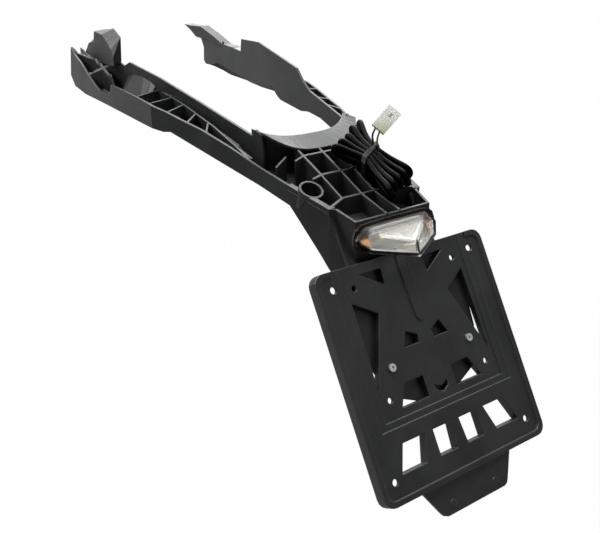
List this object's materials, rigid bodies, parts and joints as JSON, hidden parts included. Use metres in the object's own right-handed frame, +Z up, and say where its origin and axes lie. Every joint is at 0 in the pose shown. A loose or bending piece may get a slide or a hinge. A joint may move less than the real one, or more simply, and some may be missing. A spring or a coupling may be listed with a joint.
{
  "type": "tail tidy",
  "caption": "Moulded tail tidy for a motorbike: a ribbed two-armed carrier, a tail support, a slotted licence plate frame, a clear LED tail light and its tied cable",
  "frame": {"origin": "midway between the bolt seats of the two fixing bosses, on the part's middle plane", "axes": "X to the right seen from behind, Y forward along the arms, Z up; the plate leans 30 degrees back"},
  "size_m": [0.2, 0.6234, 0.3639],
  "materials": {
    "carrier_bracket": "satin moulded black",
    "tail_support": "satin moulded black",
    "plate_frame": "satin moulded black",
    "plate_screw_left": "zinc plated",
    "plate_screw_right": "zinc plated",
    "light_gasket": "foam rubber",
    "light_housing": "black",
    "light_lens": "clear moulded",
    "light_reflector": "metallised",
    "light_diffuser": "prismatic clear",
    "light_guide": "white translucent",
    "plate_lamp_window": "clear",
    "circuit_board": "white solder mask",
    "amber_reflector_left": "amber",
    "amber_reflector_right": "amber",
    "cable_grommet": "matt",
    "cable_lead": "satin sheath",
    "cable_hank": "satin sheath",
    "cable_tie": "black",
    "wire_black": "sheath",
    "wire_green": "sheath",
    "connector_housing": "natural nylon",
    "connector_terminal_left": "tinned",
    "connector_terminal_right": "tinned",
    "led_1": "phosphor",
    "led_2": "phosphor",
    "led_3": "phosphor",
    "led_4": "phosphor",
    "led_5": "phosphor"
  },
  "bodies": {
    "root": {"carrier_bracket": "carrier_bracket", "tail_support": "tail_support", "plate_frame": "plate_frame", "plate_screw_left": "plate_screw_left", "plate_screw_right": "plate_screw_right", "light_gasket": "light_gasket", "light_housing": "light_housing", "light_lens": "light_lens", "light_reflector": "light_reflector", "light_diffuser": "light_diffuser", "light_guide": "light_guide", "plate_lamp_window": "plate_lamp_window", "circuit_board": "circuit_board", "amber_reflector_left": "amber_reflector_left", "amber_reflector_right": "amber_reflector_right", "cable_grommet": "cable_grommet", "cable_lead": "cable_lead", "cable_hank": "cable_hank", "cable_tie": "cable_tie", "wire_black": "wire_black", "wire_green": "wire_green", "connector_housing": "connector_housing", "connector_terminal_left": "connector_terminal_left", "connector_terminal_right": "connector_terminal_right", "led_1": "led_1", "led_2": "led_2", "led_3": "led_3", "led_4": "led_4", "led_5": "led_5"}
  },
  "joints": []
}
